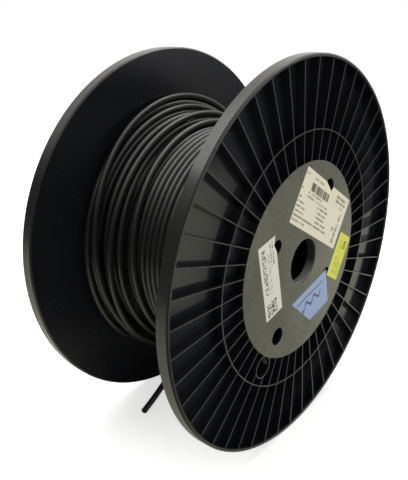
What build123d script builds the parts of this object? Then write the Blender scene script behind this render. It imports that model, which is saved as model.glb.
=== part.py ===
from build123d import *
from math import cos, sin, tan, radians
import os

# Cable reel: two ribbed flange mouldings on a tube, wound with round cable.
# The axle lies along Y, the labelled flange faces -Y, the flanges stand on the floor at z = 0.

# Reel
FLANGE_D = 315.0
REEL_WIDTH = 150.0
REEL_TURN = 58.5          # degrees that the reel has rolled, to the line of the outer drive holes

# Flange moulding
RIM_WIDTH = 10.5
RIM_WALL = 2.4
RIM_BEVEL = 1.2           # broken edge on the cable side
FRONT_BEVEL = 1.0         # broken edge on the front
FACE_SETBACK = 1.0        # hub face and rib tops lie behind the front of the rim
WEB_THICKNESS = 2.6
RIB_COUNT = 48
RIB_THICKNESS = 0.8
RING_RIB_D = 208.0
RING_THICKNESS = 1.0
HUB_D = 161.0
HUB_PLATE = 3.0
HUB_SKIRT = 3.0

# Arbor bore and drive holes
BORE_D = 36.0
BORE_CHAMFER = 0.8
COLLAR_DEPTH = 7.0
COLLAR_WALL = 3.0
OUTER_DRIVE_PCD = 126.0
OUTER_DRIVE_D = 14.5
INNER_DRIVE_PCD = 92.0
INNER_DRIVE_D = 11.0

# Ringed hole for the start of the cable, halfway between two ribs
START_HOLE_D = 17.0
START_RING_WALL = 1.0
START_RIBS = 23.5         # rib pitches from the line of the outer drive holes

# Barrel
BARREL_D = 160.0
BARREL_WALL = 3.0
SPIGOT_LENGTH = 9.0
SPIGOT_WALL = 2.5
SEAT_GAP = 0.3            # running gap round the spigots and under the cable

# Cable
CABLE_D = 5.5
LAYER_SHARE = 0.98        # rise of one loose layer on the layer below
# Zones of the winding from the labelled flange: turns side by side, and layers up to their tops
ZONE_TURNS = (16, 1.3, 1.1, 2.4, 2.2)
ZONE_LAYERS = (3, 4, 5.4, 4.6, 6.3)

# Free end of the cable
TAIL_EXIT_ANGLE = 292.0   # degrees round the axle where it leaves the winding
TAIL_SIDE = (57.0, 56.5, 50.7, 36.6)
TAIL_TRAVEL = (0.0, 34.4, 77.6, 120.6)
TAIL_DROP_SHARES = (0.0, 0.292, 1.0, 1.0)
BEND_SHARE = 0.45         # part of the shorter run that a bend may use

# Paper labels on the hub face: centre across, centre up from the axle, width, height, tilt
PAPER = 0.2
SHIPPING_LABEL = (23.2, 36.6, 85.8, 44.4, -30.8)
CODE_LABEL = (-46.4, 0.0, 21.4, 65.6, 13.2)
TEST_LABEL = (60.1, -14.8, 39.8, 21.8, 59.5)
NOTE_EDGE_LONG = 54.4
NOTE_EDGE_SHORT = 30.5
NOTE_HEIGHT = 33.4
NOTE_CORNER = (38.9, -20.6)
NOTE_TILT = 13.9
TEAR_WIDTH = 14.2         # torn slit in the large label over an outer drive hole
TEAR_DEPTH = 4.2
TEAR_LEAN_SHARE = 0.9
BITE_LENGTH = 14.0        # torn edge of the narrow label beside an inner drive hole
BITE_DEPTH = 2.3

# Sizes that follow
flange_r = FLANGE_D / 2
half_width = REEL_WIDTH / 2
axle_z = flange_r
inner_y = half_width - RIM_WIDTH
face_h = RIM_WIDTH - FACE_SETBACK
hub_r = HUB_D / 2
bore_r = BORE_D / 2
barrel_r = BARREL_D / 2
spigot_r = barrel_r - BARREL_WALL - SEAT_GAP
cable_r = CABLE_D / 2


def flange():
    """One flange moulding with its axis along Z, the cable side at zero and the front upward."""
    outline = Polyline(
        (bore_r, face_h - COLLAR_DEPTH),
        (bore_r, face_h - BORE_CHAMFER),
        (bore_r + BORE_CHAMFER, face_h),
        (hub_r, face_h),
        (hub_r, WEB_THICKNESS),
        (flange_r - RIM_WALL, WEB_THICKNESS),
        (flange_r - RIM_WALL, RIM_WIDTH),
        (flange_r - FRONT_BEVEL, RIM_WIDTH),
        (flange_r, RIM_WIDTH - FRONT_BEVEL),
        (flange_r, RIM_BEVEL),
        (flange_r - RIM_BEVEL, 0),
        (spigot_r, 0),
        (spigot_r, -SPIGOT_LENGTH),
        (spigot_r - SPIGOT_WALL, -SPIGOT_LENGTH),
        (spigot_r - SPIGOT_WALL, WEB_THICKNESS),
        (hub_r - HUB_SKIRT, WEB_THICKNESS),
        (hub_r - HUB_SKIRT, face_h - HUB_PLATE),
        (bore_r + COLLAR_WALL, face_h - HUB_PLATE),
        (bore_r + COLLAR_WALL, face_h - COLLAR_DEPTH),
        close=True,
    )
    body = revolve(make_face(Plane.XZ * outline), Axis.Z)

    rib_low = WEB_THICKNESS / 2
    rib_in = hub_r - HUB_SKIRT / 2
    rib_out = flange_r - RIM_WALL / 2
    rib = Pos((rib_in + rib_out) / 2, 0, (rib_low + face_h) / 2) * Box(
        rib_out - rib_in, RIB_THICKNESS, face_h - rib_low)
    ribs = [Rot(0, 0, i * 360 / RIB_COUNT) * rib for i in range(RIB_COUNT)]
    ring_r = (RING_RIB_D + RING_THICKNESS) / 2
    # The ring runs straight from rib to rib.
    ring_face = RegularPolygon(ring_r, RIB_COUNT) - RegularPolygon(ring_r - RING_THICKNESS, RIB_COUNT)
    ring_rib = Pos(0, 0, rib_low) * extrude(ring_face, face_h - rib_low)
    body = body + ribs + ring_rib

    ring_out = START_HOLE_D / 2 + START_RING_WALL
    start = Rot(0, 0, START_RIBS * 360 / RIB_COUNT) * Pos(hub_r + START_HOLE_D / 2, 0, 0)
    start_ring = start * Pos(0, 0, (rib_low + face_h) / 2) * Cylinder(ring_out, face_h - rib_low)
    start_hole = start * Cylinder(START_HOLE_D / 2, FLANGE_D)
    body = body + start_ring - start_hole

    outer_holes = PolarLocations(OUTER_DRIVE_PCD / 2, 2) * Cylinder(OUTER_DRIVE_D / 2, FLANGE_D)
    inner_holes = PolarLocations(INNER_DRIVE_PCD / 2, 2, 90) * Cylinder(INNER_DRIVE_D / 2, FLANGE_D)
    return body - outer_holes - inner_holes


def layer_r(layers):
    """Outside radius of a winding of so many layers."""
    return barrel_r + SEAT_GAP + CABLE_D * (1 + (layers - 1) * LAYER_SHARE)


def winding():
    """The wound cable as one turned solid: a bore, and zones of turns heaped to their own heights."""
    end = inner_y - SEAT_GAP
    pitch = 2 * end / sum(ZONE_TURNS)
    bore = barrel_r + SEAT_GAP
    outline = [(bore, -end)]
    for turns, layers in zip(ZONE_TURNS, ZONE_LAYERS):
        start = outline[-1][1]
        outline += [(layer_r(layers), start), (layer_r(layers), start + turns * pitch)]
    outline.append((bore, outline[-1][1]))
    return revolve(make_face(Polyline(*outline, close=True)), Axis.Y)


def tail_points():
    """Route of the free end: off the winding along its tangent, then down on to the floor."""
    exit_r = layer_r(max(ZONE_LAYERS)) + cable_r + SEAT_GAP
    exit_x = exit_r * cos(radians(TAIL_EXIT_ANGLE))
    exit_z = axle_z + exit_r * sin(radians(TAIL_EXIT_ANGLE))
    drop = exit_z - cable_r
    steps = zip(TAIL_TRAVEL, TAIL_SIDE, TAIL_DROP_SHARES)
    return [Vector(exit_x - travel, side, exit_z - share * drop) for travel, side, share in steps]


def bend_radii(points):
    """Largest bend at each inner point that leaves part of the shorter run straight."""
    radii = []
    for before, here, after in zip(points, points[1:], points[2:]):
        run_in = here - before
        run_out = after - here
        turn = radians(run_in.get_angle(run_out))
        radii.append(BEND_SHARE * min(run_in.length, run_out.length) / tan(turn / 2))
    return radii


def tail():
    """The free end as a plain tube along straight runs and bends."""
    points = tail_points()
    radii = bend_radii(points)
    print("tail bend radii", [round(r, 1) for r in radii])
    path = FilletPolyline(*points, radius=radii)
    print("tail length", round(path.length, 1))
    start = Plane(origin=path @ 0, z_dir=path % 0)
    return sweep(start * Circle(cable_r), path=path)


def on_hub(shape):
    """Stands a flat shape on the hub face of the labelled flange."""
    return Pos(0, FACE_SETBACK - half_width, axle_z) * Rot(90, 0, 0) * shape


def sheet(face):
    """A paper sheet on the hub face."""
    return on_hub(extrude(face, PAPER))


def label(place):
    """A plain rectangular label."""
    across, up, width, height, tilt = place
    return Pos(across, up) * Rot(0, 0, tilt) * Rectangle(width, height)


def bitten_label(place):
    """A rectangular label torn at the top of its right edge."""
    across, up, width, height, tilt = place
    top = height / 2
    bite = Polyline(
        (width / 2, top),
        (width / 2, top - BITE_LENGTH),
        (width / 2 - BITE_DEPTH, top - BITE_LENGTH / 2),
        close=True,
    )
    return Pos(across, up) * Rot(0, 0, tilt) * (Rectangle(width, height) - make_face(bite))


def torn_label(place):
    """A rectangular label with a slit torn in its upper edge where a drive hole lies under it."""
    across, up, width, height, tilt = place
    hole_r = OUTER_DRIVE_PCD / 2
    hole_angle = radians(REEL_TURN)
    to_hole = Vector(hole_r * cos(hole_angle) - across, hole_r * sin(hole_angle) - up).rotate(Axis.Z, -tilt)
    edge = height / 2
    slit = Polyline(
        (to_hole.X - TEAR_WIDTH / 2, edge),
        (to_hole.X + TEAR_WIDTH / 2, edge),
        (to_hole.X + TEAR_WIDTH * (TEAR_LEAN_SHARE - 1 / 2), edge - TEAR_DEPTH),
        close=True,
    )
    return Pos(across, up) * Rot(0, 0, tilt) * (Rectangle(width, height) - make_face(slit))


def note():
    """A note cut from a strip, with one slanting end."""
    corner = Polyline(
        (0, 0),
        (-NOTE_EDGE_LONG, 0),
        (-NOTE_EDGE_SHORT, -NOTE_HEIGHT),
        (0, -NOTE_HEIGHT),
        close=True,
    )
    return Pos(*NOTE_CORNER) * Rot(0, 0, NOTE_TILT) * make_face(corner)


moulding = flange()
laid = Rot(90, 0, 0) * Rot(0, 0, REEL_TURN)
turned_over = Rot(180, 0, 0)
tube_face = Circle(barrel_r) - Circle(barrel_r - BARREL_WALL)

nodes = {
    "near_flange": Pos(0, -inner_y, axle_z) * laid * moulding,
    "far_flange": Pos(0, inner_y, axle_z) * laid * turned_over * moulding,
    "barrel_tube": Pos(0, inner_y, axle_z) * Rot(90, 0, 0) * extrude(tube_face, 2 * inner_y),
    "cable_winding": Pos(0, 0, axle_z) * winding(),
    "cable_tail": tail(),
    "shipping_label": sheet(torn_label(SHIPPING_LABEL)),
    "code_label": sheet(bitten_label(CODE_LABEL)),
    "test_label": sheet(label(TEST_LABEL)),
    "length_note": sheet(note()),
}

os.makedirs("parts", exist_ok=True)
for name, shape in nodes.items():
    export_step(shape, f"parts/{name}.step")
    print(name, "volume", round(shape.volume), "solids", len(shape.solids()))
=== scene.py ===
# %% [markdown]
# # A plastic cable reel, dressed on its CAD frame
# The reel is two black moulded flanges on a tube, wound with some forty-five metres of thin cable.
# The CAD solids give the flanges, the tube and the paper labels their true shape, so this lesson keeps
# them and gives them finishes. Only the cable is modelled anew, because its turns are what one sees.

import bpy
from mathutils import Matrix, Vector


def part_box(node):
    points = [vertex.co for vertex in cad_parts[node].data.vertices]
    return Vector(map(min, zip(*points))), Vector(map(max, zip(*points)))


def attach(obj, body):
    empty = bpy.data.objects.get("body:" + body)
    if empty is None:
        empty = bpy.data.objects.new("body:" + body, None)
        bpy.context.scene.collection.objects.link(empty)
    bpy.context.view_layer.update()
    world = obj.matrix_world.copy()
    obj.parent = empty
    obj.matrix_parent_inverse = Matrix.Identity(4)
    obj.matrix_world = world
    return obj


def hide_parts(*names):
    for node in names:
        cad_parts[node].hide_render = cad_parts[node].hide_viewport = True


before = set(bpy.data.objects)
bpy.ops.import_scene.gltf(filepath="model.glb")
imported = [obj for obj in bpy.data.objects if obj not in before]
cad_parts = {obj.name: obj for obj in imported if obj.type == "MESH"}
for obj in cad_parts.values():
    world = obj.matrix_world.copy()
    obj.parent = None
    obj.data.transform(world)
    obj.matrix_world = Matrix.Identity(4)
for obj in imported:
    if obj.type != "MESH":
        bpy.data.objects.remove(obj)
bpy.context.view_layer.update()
print("nodes", sorted(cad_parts))

# %% [markdown]
# ## The camera
# The photograph looks down a little on the reel from its left front. The view was fitted to the ellipses of
# the two rims, which give the direction, the distance and the lens together. A lens of 42 mm on a 36 mm
# sensor is the field of view of a hand-held product picture at under half a metre.

# %% Set the camera
import math
import bpy
import numpy as np
from mathutils import Vector

MM = 0.001
CAMERA_PLACE = (-0.3659, -0.2809, 0.3356)
CAMERA_TURN = math.radians(-49.67)
CAMERA_LIFT = math.radians(21.19)
CAMERA_LENS = 42.42
CAMERA_SENSOR = 36.0
CAMERA_NEAR = 0.01

camera_data = bpy.data.cameras.new("photo_camera")
camera_data.sensor_width = CAMERA_SENSOR
camera_data.lens = CAMERA_LENS
camera_data.clip_start = CAMERA_NEAR
camera = bpy.data.objects.new("photo_camera", camera_data)
backwards = Vector((math.sin(CAMERA_TURN) * math.cos(CAMERA_LIFT),
                    -math.cos(CAMERA_TURN) * math.cos(CAMERA_LIFT),
                    math.sin(CAMERA_LIFT)))
camera.location = CAMERA_PLACE
camera.rotation_euler = backwards.to_track_quat("Z", "Y").to_euler()
bpy.context.scene.collection.objects.link(camera)
bpy.context.scene.camera = camera
print("camera at", CAMERA_PLACE, "looks along", [round(-v, 3) for v in backwards])

# %% [markdown]
# ## The free end of the cable
# The last turn leaves the winding low down, drops to the floor behind the labelled flange and lies there
# with its cut end just showing. A curve with a round bevel is the plain way to make a cable. Its four control
# points are the same route as the solid's, and a NURBS spline of order 3 rounds them into one easy bend.

# %% Lay the free end
CABLE_D = 5.5 * MM
TAIL_ROUTE = np.array(((43.99, 57.0, 48.63),
                       (9.59, 56.5, 35.24),
                       (-33.61, 50.7, 2.75),
                       (-76.61, 36.6, 2.75))) * MM

tail_curve = bpy.data.curves.new("cable_free_end", "CURVE")
tail_curve.dimensions = "3D"
tail_spline = tail_curve.splines.new("NURBS")
tail_spline.points.add(len(TAIL_ROUTE) - 1)
tail_spline.points.foreach_set("co", np.insert(TAIL_ROUTE, 3, 1.0, axis=1).ravel())
tail_spline.order_u = 3
tail_spline.use_endpoint_u = True
tail_spline.resolution_u = 24
tail_spline.points.foreach_set("radius", np.full(len(TAIL_ROUTE), CABLE_D / 2))
tail_curve.bevel_depth = 1.0
tail_curve.bevel_resolution = 4
tail_curve.use_fill_caps = True
free_end = bpy.data.objects.new("cable_free_end", tail_curve)
bpy.context.scene.collection.objects.link(free_end)
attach(free_end, "root")
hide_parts("cable_tail")

# %% [markdown]
# ## The wound cable
# On the real reel the cable goes round in tight layers: three full ones across the tube, then a loose heap
# of turns by the far flange, where it was wound back by hand. A turned solid would show smooth sides, and an
# array of rings would not join up. So the whole cable is one path. Its angle falls steadily, while its
# height above the tube and its place across the reel follow a list of knots, smoothed so that no bend is
# sharp.

# %% Read the reel's sizes from the frame
barrel_low, barrel_high = (Vector(c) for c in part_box("barrel_tube"))
flange_low, flange_high = (Vector(c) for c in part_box("near_flange"))
AXLE_Z = (flange_low.z + flange_high.z) / 2
FLANGE_R = (flange_high.z - flange_low.z) / 2
barrel_r = (barrel_high.z - barrel_low.z) / 2
print("axle at", round(AXLE_Z, 4), "tube radius", round(barrel_r, 4), "flange radius", round(FLANGE_R, 4))

# %% Give the winding its knots
INNER_FACE_Y = 64.5 * MM
SEAT_GAP = 0.3 * MM
LAYER_RISE = 0.87 * CABLE_D
TIGHT_LAYERS = 3
LAYER_TURNS = 22.5
TIGHT_PITCH = 5.51 * MM
CLIMB_TURNS = 0.2
START_TURN = 0.159
STATION_SHARES = (0.186, 0.353, 0.519)
# Each loose turn is given where it passes low on the left, at the side and at the top,
# as the layers it lies up and its place across in mm.
LOOSE_TURNS = (
    ((4.0, 61.0), (4.0, 61.0), (4.0, 60.5)),
    ((4.0, 55.5), (4.0, 55.5), (4.0, 55.0)),
    ((4.0, 50.0), (4.0, 50.0), (4.0, 49.5)),
    ((5.5, 61.0), (5.5, 61.2), (5.5, 60.8)),
    ((5.3, 50.0), (5.45, 51.3), (5.3, 54.0)),
    ((5.4, 55.5), (6.4, 51.3), (6.3, 54.5)),
    ((7.05, 54.0), (6.85, 55.9), (7.15, 60.0)),
    ((4.85, 43.0), (4.95, 44.6), (5.2, 47.0)),
    ((4.0, 38.5), (4.0, 41.0), (4.0, 43.5)),
    ((4.5, 26.0), (5.05, 29.3), (4.3, 36.5)),
    ((4.0, 10.5), (4.0, 19.8), (4.0, 27.2)),
    ((6.5, 32.3), (6.0, 33.6), (5.45, 34.8)),
    ((6.25, 37.3), (7.1, 46.2), (8.25, 60.7)),
)

first_layer_r = barrel_r + SEAT_GAP + CABLE_D / 2
end_y = INNER_FACE_Y - SEAT_GAP - CABLE_D / 2
exit_rise = TAIL_ROUTE[0][2] - AXLE_Z
exit_r = math.hypot(TAIL_ROUTE[0][0], exit_rise)
exit_angle = math.atan2(exit_rise, TAIL_ROUTE[0][0])
layer_numbers = np.arange(TIGHT_LAYERS)
outward = np.where(layer_numbers % 2 == 0, 1.0, -1.0)
layer_starts = layer_numbers * LAYER_TURNS
loose_start = math.floor(TIGHT_LAYERS * LAYER_TURNS)
layer_ends = np.minimum(layer_starts + LAYER_TURNS - CLIMB_TURNS, loose_start)
start_places = -outward * end_y
end_places = start_places + outward * (layer_ends - layer_starts) * TIGHT_PITCH
tight_knots = np.stack((np.stack((layer_starts, layer_ends), axis=1).ravel(),
                        np.repeat(layer_numbers + 1.0, 2),
                        np.stack((start_places, end_places), axis=1).ravel()), axis=1)
loose = np.array(LOOSE_TURNS)
loose_at = loose_start + np.arange(len(loose))[:, None] + np.array(STATION_SHARES)[None, :]
loose_knots = np.stack((loose_at.ravel(), loose[:, :, 0].ravel(), loose[:, :, 1].ravel() * MM), axis=1)
end_turn = loose_start + len(loose)
exit_knot = np.array([[end_turn, 1 + (exit_r - first_layer_r) / LAYER_RISE, TAIL_ROUTE[0][1]]])
knots = np.concatenate((tight_knots, loose_knots, exit_knot))
print(len(knots), "knots over", end_turn, "turns, in order:", bool(np.all(np.diff(knots[:, 0]) > 0)))

# %% Carry the cable along its path
STEPS_PER_TURN = 84
CABLE_SIDES = 10
SMOOTH_TURNS = 0.14
WANDER_PLACE = 0.22 * MM
WANDER_HEIGHT = 0.12 * MM
WANDER_SEED = 7
PLACE_STEPS = 40
HEIGHT_STEPS = 52


def smoothed(values, steps):
    """Each value becomes the mean of its neighbours under a cosine bell. The ends are carried on in line."""
    bell = np.hanning(2 * steps + 3)[1:-1]
    before = 2 * values[0] - values[steps:0:-1]
    after = 2 * values[-1] - values[-2:-steps - 2:-1]
    return np.convolve(np.concatenate((before, values, after)), bell / bell.sum(), mode="valid")


def wander(count, spacing, size, source):
    """A slow random drift: random numbers every so many steps, joined in line, smoothed, times a size."""
    marks = np.arange(0, count + spacing, spacing)
    drift = np.interp(np.arange(count), marks, source.uniform(-1.0, 1.0, len(marks)))
    return size * smoothed(drift, spacing // 2)


def wound_path(knots, first_turn, last_turn):
    """A spiral: at turn t the angle is the exit angle plus a full circle for each turn still to come, the
    radius is the first layer's plus the layers climbed times their rise, and the place across comes from the
    knots. A slow drift is added to both, and fades out over the last turn."""
    turns = np.arange(round(first_turn * STEPS_PER_TURN), last_turn * STEPS_PER_TURN + 1) / STEPS_PER_TURN
    steps = round(SMOOTH_TURNS * STEPS_PER_TURN)
    source = np.random.default_rng(WANDER_SEED)
    fade = np.clip(last_turn - turns, 0.0, 1.0)
    layers = smoothed(np.interp(turns, knots[:, 0], knots[:, 1]), steps)
    across = smoothed(np.interp(turns, knots[:, 0], knots[:, 2]), steps)
    across = across + fade * wander(len(turns), PLACE_STEPS, WANDER_PLACE, source)
    across = np.clip(across, -end_y, end_y)
    lift = fade * wander(len(turns), HEIGHT_STEPS, WANDER_HEIGHT, source)
    radius = first_layer_r + (layers - 1) * LAYER_RISE + lift
    angle = exit_angle + 2 * math.pi * (last_turn - turns)
    return np.stack((radius * np.cos(angle), across, AXLE_Z + radius * np.sin(angle)), axis=1)


def carried_round(path, radius, sides):
    """A round profile carried along a path: point i, side j lies at the path's point i plus the radius
    times (cos a outwards from the axle + sin a sideways), a being j sides round. The ends are closed."""
    along = np.gradient(path, axis=0)
    along /= np.linalg.norm(along, axis=1, keepdims=True)
    out = path - np.array((0.0, 0.0, AXLE_Z))
    out[:, 1] = 0.0
    out -= along * np.sum(out * along, axis=1, keepdims=True)
    out /= np.linalg.norm(out, axis=1, keepdims=True)
    side = np.cross(along, out)
    turn = np.linspace(0.0, 2 * math.pi, sides, endpoint=False)
    rings = path[:, None, :] + radius * (np.cos(turn)[None, :, None] * out[:, None, :]
                                         + np.sin(turn)[None, :, None] * side[:, None, :])
    i, j = np.meshgrid(np.arange(len(path) - 1), np.arange(sides), indexing="ij")
    k = (j + 1) % sides
    quads = np.stack((i * sides + j, i * sides + k, (i + 1) * sides + k, (i + 1) * sides + j), axis=-1)
    caps = [list(range(sides))[::-1], list(range((len(path) - 1) * sides, len(path) * sides))]
    return rings.reshape(-1, 3), quads.reshape(-1, 4).tolist() + caps


def new_piece(name, points, faces, slot):
    """Makes a smooth mesh piece that rides on the reel. Its slot is not used."""
    mesh = bpy.data.meshes.new(name)
    mesh.from_pydata(points, [], faces)
    mesh.polygons.foreach_set("use_smooth", np.ones(len(mesh.polygons), dtype=bool))
    piece = bpy.data.objects.new(name, mesh)
    bpy.context.scene.collection.objects.link(piece)
    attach(piece, "root")
    return piece


winding_path = wound_path(knots, START_TURN, end_turn)
wound_cable = new_piece("wound_cable", *carried_round(winding_path, CABLE_D / 2, CABLE_SIDES), "sheath")
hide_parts("cable_winding")
wound_length = np.linalg.norm(np.diff(winding_path, axis=0), axis=1).sum()
print("wound cable", round(wound_length, 2), "m in", len(wound_cable.data.polygons), "faces, ends at",
      winding_path[-1].round(4))

# %% [markdown]
# ## Shader sums
# A finish is mostly sums on the place of a point: how far from the axle, how near the front. Writing them
# as Python sums is easier to read than a list of nodes. One small class holds a socket, and each operator
# adds the Math node that does it.

# %% Wrap a socket


class Wire:
    """A shader socket in a sum: each operator between wires and numbers adds one Math node."""

    def __init__(self, tree, socket):
        self.tree = tree
        self.socket = socket

    def node(self, kind, settings, sockets, output=0):
        """Adds one node of a kind: its settings first, then the value or the link of each socket."""
        made = self.tree.nodes.new(kind)
        for name, value in settings.items():
            setattr(made, name, value)
        for name, value in sockets.items():
            if isinstance(value, Wire):
                self.tree.links.new(value.socket, made.inputs[name])
            else:
                made.inputs[name].default_value = value
        return Wire(self.tree, made.outputs[output])

    def math(self, operation, *others):
        """A Math node on this wire and any others."""
        return self.node("ShaderNodeMath", {"operation": operation}, dict(enumerate((self,) + others)))

    def turned(self, operation, other):
        """A Math node with this wire second, as when a number stands first in a sum."""
        return self.node("ShaderNodeMath", {"operation": operation}, {0: other, 1: self})

    def __add__(self, other):
        return self.math("ADD", other)

    def __radd__(self, other):
        return self.turned("ADD", other)

    def __sub__(self, other):
        return self.math("SUBTRACT", other)

    def __rsub__(self, other):
        return self.turned("SUBTRACT", other)

    def __mul__(self, other):
        return self.math("MULTIPLY", other)

    def __rmul__(self, other):
        return self.turned("MULTIPLY", other)

    def __truediv__(self, other):
        return self.math("DIVIDE", other)

    def __rtruediv__(self, other):
        return self.turned("DIVIDE", other)

    def __lt__(self, other):
        return self.math("LESS_THAN", other)

    def __gt__(self, other):
        return self.math("GREATER_THAN", other)

    def __abs__(self):
        return self.math("ABSOLUTE")


print("a wire takes + - * / < > and abs")

# %% Make the shader helpers


def new_finish(name, settings):
    """A new material with constants on its shader's own sockets, given with its shader and coordinates."""
    material = bpy.data.materials.new(name)
    material.use_nodes = True
    tree = material.node_tree
    shader = tree.nodes["Principled BSDF"]
    for socket, value in settings.items():
        shader.inputs[socket].default_value = value
    place = Wire(tree, tree.nodes.new("ShaderNodeTexCoord").outputs["Object"])
    return material, shader, place


def feed(shader, sockets):
    """Links wires to the shader's sockets."""
    for name, wire in sockets.items():
        wire.tree.links.new(wire.socket, shader.inputs[name])


def parts_of(vector):
    """The three numbers of a vector as wires."""
    first = vector.node("ShaderNodeSeparateXYZ", {}, {0: vector})
    outputs = first.socket.node.outputs
    return tuple(Wire(vector.tree, outputs[i]) for i in range(3))


def ramp(value, low, high):
    """0 below low, 1 above high, and an easy slope between."""
    return value.node("ShaderNodeMapRange", {"interpolation_type": "SMOOTHSTEP"},
                      {"Value": value, "From Min": low, "From Max": high})


def blend(share, plain, other):
    """A colour between two, by a share."""
    return share.node("ShaderNodeMix", {"data_type": "RGBA"}, {0: share, 6: plain, 7: other}, output=2)


def noise(place, scale, detail=2.0, roughness=0.5):
    """Soft noise from 0 to 1 with a number of lumps per metre."""
    return place.node("ShaderNodeTexNoise", {}, {"Vector": place, "Scale": scale, "Detail": detail,
                                                 "Roughness": roughness})


def bumped(height, distance, strength):
    """A Bump node's normal for a height from 0 to 1 that stands for a distance in metres."""
    return height.node("ShaderNodeBump", {}, {"Height": height, "Distance": distance, "Strength": strength})


def dress(node, material):
    """Puts one material on a CAD node."""
    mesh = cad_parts[node].data
    mesh.materials.clear()
    mesh.materials.append(material)


print("shader helpers ready")

# %% [markdown]
# ## Black moulded plastic
# The flanges are one moulding used twice. Its pocket floors came off polished steel and mirror the room. The
# hub, the rib tops and the rim kept the tool's matt grain. Separate materials would need the faces sorted by
# hand. One material can tell the finishes apart by itself: how far a point stands forward, and how far it is
# from the axle, say which finish it has.

# %% Find the moulding's zones
TOP_LINE = 73.8 * MM
TOP_EDGE = 0.15 * MM
HUB_R = 80.5 * MM
LIP_R = FLANGE_R - 2.4 * MM
BEVEL_R = FLANGE_R - 0.95 * MM
BORE_R = 18.2 * MM
INNER_Y = 66.0 * MM


def moulding_zones(x, up, forward):
    """1 on each zone and 0 off it. What reaches the front line is hub, rib or lip by its distance from the
    axle. Past the bevel lies the band, within the bore's radius its wall, behind the web the cable side."""
    from_axle = (x * x + up * up).math("SQRT")
    top = ramp(forward, TOP_LINE, TOP_LINE + TOP_EDGE) * (from_axle < BEVEL_R)
    hub = top * (from_axle < HUB_R)
    lip = top * (from_axle > LIP_R)
    rib = top - hub - lip
    bore = (from_axle < BORE_R) * (1.0 - top)
    band = from_axle > BEVEL_R
    cable_side = (forward < INNER_Y) * (1.0 - bore) * (1.0 - band)
    return top, hub, lip, rib, bore, band, cable_side


print("hub within", round(HUB_R, 4), "m of the axle, lip beyond", round(LIP_R, 4), "m")

# %% [markdown]
# Handling has greyed what stands proud. The hub and the ribs carry a painted sheen: their colour goes paler
# towards the lower right. The ribs also get painted light, paler low down, and the bore gets painted light,
# pale at its bottom. The lip gets painted shade, darker at the upper left. The rim's band is paler along its
# top. The polished faces on the cable's side keep a few bright specks. Noise at two sizes breaks all of it
# up, as wear does, and each zone is as rough as its finish.

# %% Choose the moulding's colours
POLISHED_BLACK = (0.0100, 0.0109, 0.0165, 1.0)
GRAINED_GREY = (0.122, 0.125, 0.099, 1.0)
# painted sheen: the hub goes from its grained grey to this paler grey towards the lower right
HUB_SHEEN_GREY = (0.205, 0.210, 0.180, 1.0)
SHEEN_SIDE = (-0.05, 0.11)
RIB_GREY = (0.034, 0.035, 0.035, 1.0)
# painted light and sheen on the ribs: paler low down, and paler towards the lower right
RIB_SHEEN_SHARE = 0.6
RIB_LOW_LIGHT_GREY = (0.092, 0.096, 0.098, 1.0)
LOW_LIGHT_RISE = (-0.07, 0.07)
RIB_SHEEN_GREY = (0.165, 0.170, 0.168, 1.0)
RIB_SHEEN_SIDE = (0.06, 0.15)
LIP_GREY = (0.078, 0.079, 0.066, 1.0)
# painted shade: the lip goes to this darker grey towards the upper left
LIP_SHADE_DARK = (0.030, 0.030, 0.028, 1.0)
LIP_SHADE_SIDE = (-0.02, 0.16)
BORE_GREY = (0.036, 0.037, 0.034, 1.0)
# painted light: the bore's wall goes to this pale grey below the axle, where it faces up
BORE_LIT_PALE = (0.36, 0.365, 0.36, 1.0)
BORE_LIGHT_DROP = (0.003, 0.017)
BAND_GREY = (0.019, 0.0195, 0.0205, 1.0)
# the rim's band goes to this paler grey along its top
BAND_TOP_GREY = (0.055, 0.055, 0.051, 1.0)
BAND_TOP_RISE = (0.115, 0.155)
SPECK_DUST = (0.36, 0.36, 0.34, 1.0)
SPECK_CELLS = 420.0
SPECK_SHARE = 0.14
print("hub goes from", GRAINED_GREY[:3], "to", HUB_SHEEN_GREY[:3])

# %% Make the moulded plastic
HANDLED_LUMPS = 28.0
SCUFF_LUMPS = 480.0
DUSTY_LUMPS = 16.0
GRAIN_LUMPS = 2600.0
WAVE_LUMPS = 70.0
POLISH_ROUGH = 0.15
MOULDING_RELIEF = 0.06 * MM


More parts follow.
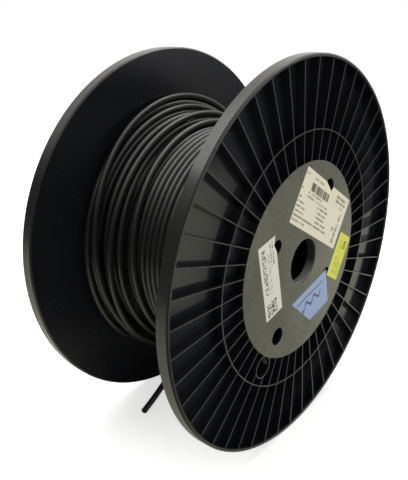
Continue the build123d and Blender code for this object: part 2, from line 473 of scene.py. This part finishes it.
def moulded_plastic():
    """Each zone's colour is laid over the polished black by the zone times its wear. Within a zone the colour
    also carries painted sheen, light and shade by its place on the face. The roughness is the polish plus
    each zone's own dullness. The height is grain on the matt zones and waves on the others."""
    material, shader, place = new_finish("moulded_plastic", {"IOR": 1.5})
    x, y, z = parts_of(place)
    up = z - AXLE_Z
    top, hub, lip, rib, bore, band, cable_side = moulding_zones(x, up, abs(y))
    handled = noise(place, HANDLED_LUMPS, 3.0)
    scuffs = noise(place, SCUFF_LUMPS, 3.0, 0.7)
    worn = 0.58 + 0.20 * ramp(handled, 0.3, 0.7) + 0.38 * ramp(scuffs, 0.32, 0.68)
    # painted sheen: the hub and the ribs go paler towards the lower right
    painted_sheen = ramp(x - up, *SHEEN_SIDE)
    colour = blend(hub * worn, POLISHED_BLACK, blend(painted_sheen, GRAINED_GREY, HUB_SHEEN_GREY))
    # painted shade: the lip goes darker towards the upper left
    colour = blend(lip * worn, colour, blend(ramp(up - x, *LIP_SHADE_SIDE), LIP_GREY, LIP_SHADE_DARK))
    # painted light: the ribs go paler low down and take a share of the painted sheen towards the lower right
    low = (1.0 - ramp(up, *LOW_LIGHT_RISE)).math("MAXIMUM", RIB_SHEEN_SHARE * painted_sheen)
    painted_rib_light = blend(ramp(x - up, *RIB_SHEEN_SIDE), RIB_LOW_LIGHT_GREY, RIB_SHEEN_GREY)
    colour = blend(rib * worn, colour, blend(low, RIB_GREY, painted_rib_light))
    # painted light: the bore's wall goes pale below the axle
    colour = blend(bore * worn, colour, blend(ramp(AXLE_Z - z, *BORE_LIGHT_DROP), BORE_GREY, BORE_LIT_PALE))
    colour = blend(band, colour, BAND_GREY)
    # the band goes paler along its top, in scuffed patches
    colour = blend(band * ramp(up, *BAND_TOP_RISE) * (0.6 + 0.8 * scuffs), colour, BAND_TOP_GREY)
    cells = place.node("ShaderNodeTexVoronoi", {}, {"Vector": place, "Scale": SPECK_CELLS})
    picked = parts_of(Wire(place.tree, cells.socket.node.outputs["Color"]))[0]
    dusty = ramp(noise(place, DUSTY_LUMPS), 0.44, 0.58)
    colour = blend((cells < SPECK_SHARE * picked) * dusty * cable_side, colour, SPECK_DUST)
    matt = 0.28 * hub + 0.22 * (lip + rib) + 0.16 * bore + 0.13 * cable_side
    mottled = band * (0.02 + 0.08 * ramp(scuffs, 0.3, 0.7))
    rough = POLISH_ROUGH + matt + mottled + 0.04 * handled
    grain = noise(place, GRAIN_LUMPS, 2.0)
    waves = noise(place, WAVE_LUMPS, 1.0)
    height = 0.25 * grain * (hub + lip + bore) + 0.25 * waves * (1.0 - top) + 0.12 * scuffs * band
    feed(shader, {"Base Color": colour, "Roughness": rough, "Normal": bumped(height, MOULDING_RELIEF, 0.3)})
    return material


black_moulding = moulded_plastic()
dress("near_flange", black_moulding)
dress("far_flange", black_moulding)
print("flanges dressed with", black_moulding.name)

# %% [markdown]
# ## The tube between the flanges
# The tube is almost hidden under the cable. It is the same kind of plastic, cut from a drawn length, so it
# has faint lines along it instead of a moulded grain. Lines could be modelled, but at this size noise that is
# stretched along the tube is enough.

# %% Make the tube's plastic
TUBE_BLACK = (0.010, 0.010, 0.011, 1.0)
TUBE_PALE = (0.026, 0.026, 0.026, 1.0)
TUBE_STRETCH = (900.0, 6.0, 900.0)
TUBE_RELIEF = 0.03 * MM


def drawn_tube():
    """Noise that is many times longer along the tube than across it gives the colour, gloss and height."""
    material, shader, place = new_finish("drawn_tube", {"IOR": 1.5})
    stretched = place.node("ShaderNodeMapping", {}, {"Vector": place, "Scale": TUBE_STRETCH})
    lines = noise(stretched, 1.0, 2.0)
    colour = blend(lines, TUBE_BLACK, TUBE_PALE)
    rough = 0.35 + 0.2 * lines
    feed(shader, {"Base Color": colour, "Roughness": rough, "Normal": bumped(lines, TUBE_RELIEF, 0.4)})
    return material


dress("barrel_tube", drawn_tube())
print("tube dressed")

# %% [markdown]
# ## The cable's sheath
# The sheath is black plasticised vinyl, drawn on warm. It has a soft sheen, not a shine, with dull patches
# where it rubbed against its neighbours and a little dust. A pattern along each turn would need a map that
# follows the cable. Noise on the place of each point is enough, because nothing is printed on it.

# %% Make the sheath
SHEATH_BLACK = (0.009, 0.009, 0.011, 1.0)
SHEATH_DULL = (0.016, 0.0155, 0.016, 1.0)
SHEATH_DUST = (0.25, 0.24, 0.22, 1.0)
SHEATH_DUST_SHARE = 0.12
SHEATH_RELIEF = 0.02 * MM


def vinyl_sheath():
    """Slow noise gives dull patches in colour and gloss, fine noise the skin, and its peaks some dust."""
    material, shader, place = new_finish("vinyl_sheath", {"IOR": 1.56})
    patches = noise(place, 45.0, 3.0)
    fine = noise(place, 1400.0, 2.0)
    dust = ramp(noise(place, 1100.0, 1.0), 0.72, 0.80) * ramp(patches, 0.45, 0.6)
    colour = blend(patches, SHEATH_BLACK, SHEATH_DULL)
    colour = blend(SHEATH_DUST_SHARE * dust, colour, SHEATH_DUST)
    rough = 0.26 + 0.12 * patches
    feed(shader, {"Base Color": colour, "Roughness": rough, "Normal": bumped(fine, SHEATH_RELIEF, 0.35)})
    return material


sheath = vinyl_sheath()
wound_cable.data.materials.append(sheath)
tail_curve.materials.append(sheath)
print("cable dressed with", sheath.name)

# %% [markdown]
# ## Printed papers
# Four papers are stuck on the hub. Their print could be an image, but sums stay sharp at any size. Each print
# is worked out in the paper's own millimetres: a Mapping node moves the paper's middle to zero and turns it
# straight. Lines of print are rows cut at random, so they look like print from a distance and say nothing.

# %% Make the print helpers
PRINT_INK = (0.030, 0.030, 0.034, 1.0)
MM_PER_METRE = 1000.0
CELLS_INKED = 0.5
LENGTH_SEED = 3.0


def paper_place(place, middle, tilt):
    """A point's place on a paper in millimetres: across and up from its middle, along its own edges."""
    local = place.node("ShaderNodeMapping", {"vector_type": "TEXTURE"},
                       {"Vector": place, "Location": (middle[0] * MM, 0.0, AXLE_Z + middle[1] * MM),
                        "Rotation": (0.0, -math.radians(tilt), 0.0)})
    across, _, up = parts_of(local)
    return across * MM_PER_METRE, up * MM_PER_METRE


def inside(value, low, high):
    """1 where a value lies between two numbers and 0 elsewhere."""
    return (value > low) * (value < high)


def block(across, up, left, right, bottom, top):
    """1 inside a rectangle and 0 outside it."""
    return inside(across, left, right) * inside(up, bottom, top)


def random_cell(first, second, seed):
    """One random number from 0 to 1 for each pair of whole numbers."""
    pair = first.node("ShaderNodeCombineXYZ", {}, {0: first, 1: second, 2: seed})
    return first.node("ShaderNodeTexWhiteNoise", {"noise_dimensions": "3D"}, {"Vector": pair})


def print_rows(across, up, area, pitch, letter, seed, fill=0.55, dense=0.72, least=0.55):
    """Rows of print in an area: a row's share of its pitch is inked, cut where a random letter cell is blank,
    and each row ends at a random length, of which the least is a share of the area's."""
    rows = (up - area[2]) / pitch
    row = rows.math("FLOOR")
    cell = ((across - area[0]) / letter).math("FLOOR")
    inked = (rows.math("FRACT") < fill) * (random_cell(cell, row, seed) < dense)
    length = random_cell(row, row, seed + LENGTH_SEED)
    reach = (across - area[0]) < ((least + (1.0 - least) * length) * (area[1] - area[0]))
    return inked * reach * block(across, up, *area)


def cell_block(across, up, area, size, seed):
    """A block of random dark cells."""
    cell = random_cell((across / size).math("FLOOR"), (up / size).math("FLOOR"), seed)
    return (cell < CELLS_INKED) * block(across, up, *area)


print("print helpers ready")

# %% Make the paper
MOTTLE_LUMPS = 220.0
MOTTLE_DEPTH = 0.90
FIBRE_LUMPS = 2400.0
FIBRE_RELIEF = 0.02 * MM


def stuck_paper(name, paper, marks):
    """Paper with marks: each is a share of ink and its colour, laid over the paper's own faint mottling."""
    material, shader, place = new_finish(name, {"IOR": 1.45})
    mottle = noise(place, MOTTLE_LUMPS, 3.0)
    fibre = noise(place, FIBRE_LUMPS, 2.0)
    darker = tuple(MOTTLE_DEPTH * c for c in paper[:3]) + (1.0,)
    colour = blend(mottle, darker, paper)
    for share, ink in marks(place):
        colour = blend(share, colour, ink)
    rough = 0.48 + 0.14 * mottle
    feed(shader, {"Base Color": colour, "Roughness": rough, "Normal": bumped(fibre, FIBRE_RELIEF, 0.4)})
    return material


print("paper ready")

# %% [markdown]
# ### The large cream label
# The largest label is a printed form: a box of bars, rows of small print in two columns, a heading at its
# upper right and one row turned along its right end. Each line below is one block of it, with its area, the
# pitch of its rows, the width of a letter and a seed.

# %% Print the cream label
CREAM_PAPER = (0.84, 0.79, 0.68, 1.0)
SOFT_INK = (0.32, 0.30, 0.25, 1.0)
FAINT_INK = (0.42, 0.39, 0.32, 1.0)
END_INK = (0.20, 0.19, 0.17, 1.0)
BAR_INK = (0.125, 0.116, 0.093, 1.0)
SHIPPING_MIDDLE = (23.2, 36.6)
SHIPPING_TILT = -30.8
ROW_PITCH = 3.65
LETTER = 0.9


def shipping_marks(place):
    """The blocks of print on the cream label, each a share of ink and its colour."""
    across, up = paper_place(place, SHIPPING_MIDDLE, SHIPPING_TILT)
    yield print_rows(across, up, (-29.0, 4.5, 8.0, 14.5), 6.5, 0.30, 13.0, 1.0, 0.80, 1.0), BAR_INK
    yield print_rows(across, up, (-42.0, -33.0, 17.3, 19.3), 3.2, LETTER, 1.0), SOFT_INK
    yield print_rows(across, up, (-30.0, -8.0, 17.3, 19.3), 3.2, LETTER, 2.0), FAINT_INK
    yield print_rows(across, up, (-30.0, 10.0, 2.0, 7.0), 3.2, LETTER, 3.0), FAINT_INK
    yield print_rows(across, up, (-42.0, -36.0, -1.2, 7.4), 6.8, LETTER, 4.0, 0.25), SOFT_INK
    yield print_rows(across, up, (-42.0, -20.0, -12.2, -2.0), ROW_PITCH, LETTER, 5.0, 0.45), SOFT_INK
    yield print_rows(across, up, (-8.0, 21.0, -12.2, 1.2), ROW_PITCH, LETTER, 6.0, 0.45), SOFT_INK
    whole_row = (-42.0, 18.0, -15.8, -13.8)
    yield print_rows(across, up, whole_row, ROW_PITCH, LETTER, 7.0, 0.45, 0.85, 1.0), SOFT_INK
    yield print_rows(across, up, (-42.0, -10.0, -19.4, -17.4), ROW_PITCH, LETTER, 8.0, 0.5, 0.85), FAINT_INK
    yield print_rows(across, up, (18.0, 38.0, 13.0, 19.0), ROW_PITCH, 1.6, 9.0, 0.62, 0.92, 1.0), SOFT_INK
    yield print_rows(across, up, (28.0, 39.0, 9.6, 11.4), ROW_PITCH, LETTER, 10.0), FAINT_INK
    yield print_rows(up, across, (-19.0, 6.5, 32.8, 36.6), 1.3, 0.8, 11.0, 0.9, 0.62, 1.0), END_INK
    yield cell_block(across, up, (26.0, 31.0, -10.0, -6.0), 1.0, 12.0), SOFT_INK


dress("shipping_label", stuck_paper("cream_print", CREAM_PAPER, shipping_marks))
print("cream label printed")

# %% [markdown]
# ### The narrow white label
# One bold row and a few small ones run the length of this label, and a block of random cells sits at its
# lower end. The rows run up the paper, so across and up change places.

# %% Print the white label
WHITE_PAPER = (0.78, 0.78, 0.74, 1.0)
CODE_MIDDLE = (-46.4, 0.0)
CODE_TILT = 13.2
BOLD_INK = (0.17, 0.17, 0.16, 1.0)


def code_marks(place):
    """The rows and the cells on the white label, each a share of ink and its colour."""
    across, up = paper_place(place, CODE_MIDDLE, CODE_TILT)
    yield print_rows(up, across, (-11.0, 28.5, -7.7, -3.3), 1.1, 0.9, 21.0, 1.0, 0.48, 1.0), BOLD_INK
    yield print_rows(up, across, (11.0, 31.5, 2.6, 8.0), 2.7, 0.9, 22.0, 0.6, 0.72, 0.9), SOFT_INK
    yield print_rows(up, across, (-12.0, 26.0, -1.4, 2.4), 1.9, 0.9, 24.0, 0.5, 0.62, 0.85), FAINT_INK
    yield cell_block(across, up, (-8.0, 4.6, -31.0, -18.2), 0.9, 23.0), PRINT_INK


dress("code_label", stuck_paper("white_print", WHITE_PAPER, code_marks))
print("white label printed")

# %% [markdown]
# ### The yellow label and the blue note
# The yellow one is a sticker with a few faint rows. The blue one is a note with a ruled line and a plain pen
# stroke. A stroke is where the height above the paper's edge is near a sine wave.

# %% Print the yellow label and the blue note
YELLOW_PAPER = (0.75, 0.77, 0.105, 1.0)
YELLOW_INK = (0.46, 0.46, 0.060, 1.0)
OLIVE_INK = (0.20, 0.22, 0.040, 1.0)
BLUE_PAPER = (0.345, 0.445, 0.725, 1.0)
PEN_INK = (0.075, 0.095, 0.20, 1.0)
TEST_MIDDLE = (60.1, -14.8)
TEST_TILT = 59.5
NOTE_CORNER = (38.9, -20.6)
NOTE_TILT = 13.9
RULE_REACH = (-48.0, -6.5)
RULE_DROP = 7.0
RULE_HALF = 0.6
PEN_REACH = (-41.0, -11.0)
PEN_DROP = 15.0
PEN_HALF = 1.3


def test_marks(place):
    """The rows on the yellow label, each a share of ink and its colour."""
    across, up = paper_place(place, TEST_MIDDLE, TEST_TILT)
    yield print_rows(across, up, (-16.0, 0.0, -8.0, 6.0), 3.6, 1.1, 31.0, 0.5), YELLOW_INK
    yield print_rows(across, up, (3.0, 16.0, 2.0, 4.4), 3.6, 1.1, 32.0, 0.6), YELLOW_INK
    yield print_rows(up, across, (-7.0, -1.6, 7.6, 15.4), 2.6, 1.4, 33.0, 0.7, 0.9, 1.0), OLIVE_INK


def note_marks(place):
    """A ruled line that sags by a slow sine, and a pen stroke on a quick sine of changing height."""
    across, up = paper_place(place, NOTE_CORNER, NOTE_TILT)
    sag = (across * 0.15).math("SINE") * 0.35 - RULE_DROP
    yield (abs(up - sag) < RULE_HALF) * inside(across, *RULE_REACH), PEN_INK
    swing = (across * 0.52).math("SINE") * ((across * 0.06).math("SINE") * 2.0 + 4.6) - PEN_DROP
    yield (abs(up - swing) < PEN_HALF) * inside(across, *PEN_REACH), PEN_INK


dress("test_label", stuck_paper("yellow_print", YELLOW_PAPER, test_marks))
dress("length_note", stuck_paper("blue_note", BLUE_PAPER, note_marks))
print("yellow label and blue note printed")

# %% [markdown]
# ## The stage
# The reel stands on a white sweep in soft, slightly warm light. The world is white to the camera, to
# reflections and through glass, and weaker where it lights matt surfaces. On the camera's side the room is
# dark, and so is a low wall at the left back. Black plastic shows them as much as it shows the white sweep:
# it is why the edges that face the viewer look black.

# %% Light the world
PURE_WHITE = (1.0, 1.0, 1.0, 1.0)
WORLD_STRENGTH = 0.50
WARM_WHITE = (1.0, 0.99, 0.93, 1.0)
ROOM_SIDE = (-0.35, -0.94, 0.0)
ROOM_START = -0.05
ROOM_FULL = 0.38
ROOM_TOP = (0.35, 0.75)
ROOM_DEPTH = 0.92
WALL_SIDE = (-0.76, 0.65, 0.0)
WALL_EDGE = (0.55, 0.9)
WALL_TOP = (0.25, 0.85)
WALL_DEPTH = 1.0


def shown_rays(tree):
    """1 for the seen rays, for the mirrored ones, and for all that show the background or pass glass."""
    rays = tree.nodes.new("ShaderNodeLightPath")
    seen = Wire(tree, rays.outputs["Is Camera Ray"])
    mirrored = Wire(tree, rays.outputs["Is Glossy Ray"])
    through = Wire(tree, rays.outputs["Is Transmission Ray"])
    return seen, mirrored, seen.math("MAXIMUM", mirrored).math("MAXIMUM", through)


def towards(vector, side, start, full):
    """How far a direction or a place lies towards a side, from 0 at the start to 1 at the full measure."""
    facing = vector.node("ShaderNodeVectorMath", {"operation": "DOT_PRODUCT"}, {0: vector, 1: side}, 1)
    return ramp(facing, start, full)


def away(vector, middle, start, full):
    """How far a place lies from a middle, from 0 at the start to 1 at the full distance."""
    gap = vector.node("ShaderNodeVectorMath", {"operation": "DISTANCE"}, {0: vector, 1: middle}, 1)
    return ramp(gap, start, full)


world = bpy.data.worlds.new("studio")
bpy.context.scene.world = world
world.use_nodes = True
sky = world.node_tree.nodes["Background"]
seen, mirrored, shown = shown_rays(world.node_tree)
feed(sky, {"Color": blend(seen, WARM_WHITE, PURE_WHITE)})
sky_way = Wire(world.node_tree, world.node_tree.nodes.new("ShaderNodeTexCoord").outputs["Generated"])
height = parts_of(sky_way)[2]
low_wall = towards(sky_way, WALL_SIDE, *WALL_EDGE) * (1.0 - ramp(height, *WALL_TOP))
room = ROOM_DEPTH * towards(sky_way, ROOM_SIDE, ROOM_START, ROOM_FULL) * (1.0 - ramp(height, *ROOM_TOP))
dark = room.math("MAXIMUM", WALL_DEPTH * low_wall) * mirrored * (1.0 - seen)
strength = (WORLD_STRENGTH + (1.0 - WORLD_STRENGTH) * shown) * (1.0 - dark)
feed(sky, {"Strength": strength})
print("world lit at", WORLD_STRENGTH)

# %% [markdown]
# The floor is white paper. It adds a little light of its own to the camera's view, so that it is white where
# it is lit and still keeps the reel's shadow. Black plastic mirrors the floor more sharply than the eye sees
# it.
# What it mirrors is painted, in reflections only: the floor is painted dark beyond a line at the left and at
# the right, out of the picture. The reel's long shadow is painted as a wedge to the right front, the open
# floor right of it gets a brighter painted glow, and a painted shade makes it dim under the reel.

# %% Lay the floor
FLOOR_HALF = 4.0
FLOOR_WHITE = (0.8, 0.8, 0.8, 1.0)
FLOOR_WARM = (0.8, 0.79, 0.65, 1.0)
GLOW_WARM = (1.0, 0.99, 0.85, 1.0)
# painted shade in reflections: the plastic mirrors the floor in this dark colour beyond the ends, in the
# painted shadow wedge and under the reel
REFLECTED_FLOOR_DARK = (0.05, 0.05, 0.05, 1.0)
SEEN_GLOW = 0.62
# painted glow that reflections see on the floor
MIRRORED_GLOW = 0.05
# in reflections the floor is painted dark beyond these lines at the left and the right
REFLECTED_DARK_SIDE = (-0.96, -0.29, 0.0)
REFLECTED_DARK_EDGE = (0.26, 0.60)
REFLECTED_DARK_RIGHT = (1.0, 0.0, 0.0)
REFLECTED_DARK_RIGHT_EDGE = (0.58, 0.74)
# painted shade under the reel, in reflections
UNDER_PLACE = (0.0, 0.05, 0.0)
UNDER_REACH = (0.06, 0.13)
FRONT_SIDE = (0.0, -1.0, 0.0)
FRONT_START = (0.080, 0.095)
# the painted shadow wedge and the open floor around it
SHADE_SIDE = (0.53, -0.846, 0.0)
SHADE_END = (0.258, 0.312)
SHADE_RIGHT_END = (0.165, 0.24)
WEDGE_LEFT = (-0.552, -0.834, 0.0)
WEDGE_LEFT_EDGE = (0.152, 0.182)
WEDGE_RIGHT = (0.371, 0.928, 0.0)
WEDGE_RIGHT_EDGE = (-0.060, -0.035)
SHADOW_DEPTH = 0.96
# painted glow on the open floor right of the wedge, seen in reflections
RIGHT_GLOW = 0.12

floor_mesh = bpy.data.meshes.new("floor")
floor_mesh.from_pydata([(-FLOOR_HALF, -FLOOR_HALF, 0.0), (FLOOR_HALF, -FLOOR_HALF, 0.0),
                        (FLOOR_HALF, FLOOR_HALF, 0.0), (-FLOOR_HALF, FLOOR_HALF, 0.0)], [], [(0, 1, 2, 3)])
floor = bpy.data.objects.new("floor", floor_mesh)
bpy.context.scene.collection.objects.link(floor)
MATT_PAPER = {"Roughness": 0.9, "Specular IOR Level": 0.0}
floor_paint, floor_shader, floor_place = new_finish("pale_floor", MATT_PAPER)
floor_tree = floor_paint.node_tree
seen, mirrored, _ = shown_rays(floor_tree)
# painted shadow, in reflections only: the reel's shadow as a wedge to the right front
left_of_wedge = towards(floor_place, WEDGE_LEFT, *WEDGE_LEFT_EDGE)
left_open = left_of_wedge * towards(floor_place, SHADE_SIDE, *SHADE_END)
right_of_wedge = towards(floor_place, WEDGE_RIGHT, *WEDGE_RIGHT_EDGE)
right_open = right_of_wedge * towards(floor_place, SHADE_SIDE, *SHADE_RIGHT_END)
in_front = towards(floor_place, FRONT_SIDE, *FRONT_START)
shadow = SHADOW_DEPTH * in_front * (1.0 - left_open.math("MAXIMUM", right_open))
# painted dark, in reflections only, beyond the lines at the left and the right
reflected_dark_right = towards(floor_place, REFLECTED_DARK_RIGHT, *REFLECTED_DARK_RIGHT_EDGE)
reflected_dark_ends = towards(floor_place, REFLECTED_DARK_SIDE, *REFLECTED_DARK_EDGE).math("MAXIMUM", reflected_dark_right)
# painted shade under the reel, in reflections
shade_under_reel = 1.0 - away(floor_place, UNDER_PLACE, *UNDER_REACH)
dim = reflected_dark_ends.math("MAXIMUM", shadow).math("MAXIMUM", shade_under_reel) * mirrored * (1.0 - seen)
feed(floor_shader, {"Base Color": blend(dim, blend(seen, FLOOR_WARM, FLOOR_WHITE), REFLECTED_FLOOR_DARK)})
# painted glow in reflections, brighter on the open floor right of the wedge
glow_strength = SEEN_GLOW * seen + (MIRRORED_GLOW + RIGHT_GLOW * right_open) * mirrored * (1.0 - dim)
glow_colour = blend(seen, GLOW_WARM, PURE_WHITE)
glow = floor_place.node("ShaderNodeEmission", {}, {"Color": glow_colour, "Strength": glow_strength})
lit = Wire(floor_tree, floor_shader.outputs[0])
both = floor_place.node("ShaderNodeAddShader", {}, {0: lit, 1: glow})
floor_tree.links.new(both.socket, floor_tree.nodes["Material Output"].inputs["Surface"])
floor_mesh.materials.append(floor_paint)
print("floor laid,", 2 * FLOOR_HALF, "m across")

# %% [markdown]
# A large soft lamp above gives the turns of cable their sheen, and a weaker one at the right front lights the
# papers. Small lamps would draw sharp lines on every turn, so both are wide.

# %% Hang the lamps


def soft_lamp(name, place, aim, width, depth, power):
    """A rectangular lamp at a place, turned to an aim."""
    data = bpy.data.lights.new(name, "AREA")
    data.shape = "RECTANGLE"
    data.size = width
    data.size_y = depth
    data.energy = power
    lamp = bpy.data.objects.new(name, data)
    lamp.location = place
    lamp.rotation_euler = (Vector(place) - Vector(aim)).to_track_quat("Z", "Y").to_euler()
    bpy.context.scene.collection.objects.link(lamp)
    print("lamp", name, "of", power, "W")


REEL_MIDDLE = (0.0, 0.0, AXLE_Z)
soft_lamp("overhead", (0.15, 0.3, 1.6), REEL_MIDDLE, width=2.8, depth=0.9, power=25.0)
soft_lamp("front_right", (0.6, -1.4, 0.1), REEL_MIDDLE, width=1.0, depth=1.0, power=9.0)
bpy.context.scene.view_settings.view_transform = "Standard"

# %% [markdown]
# ## Finish
# The scene's view layer is brought up to date.

bpy.context.view_layer.update()
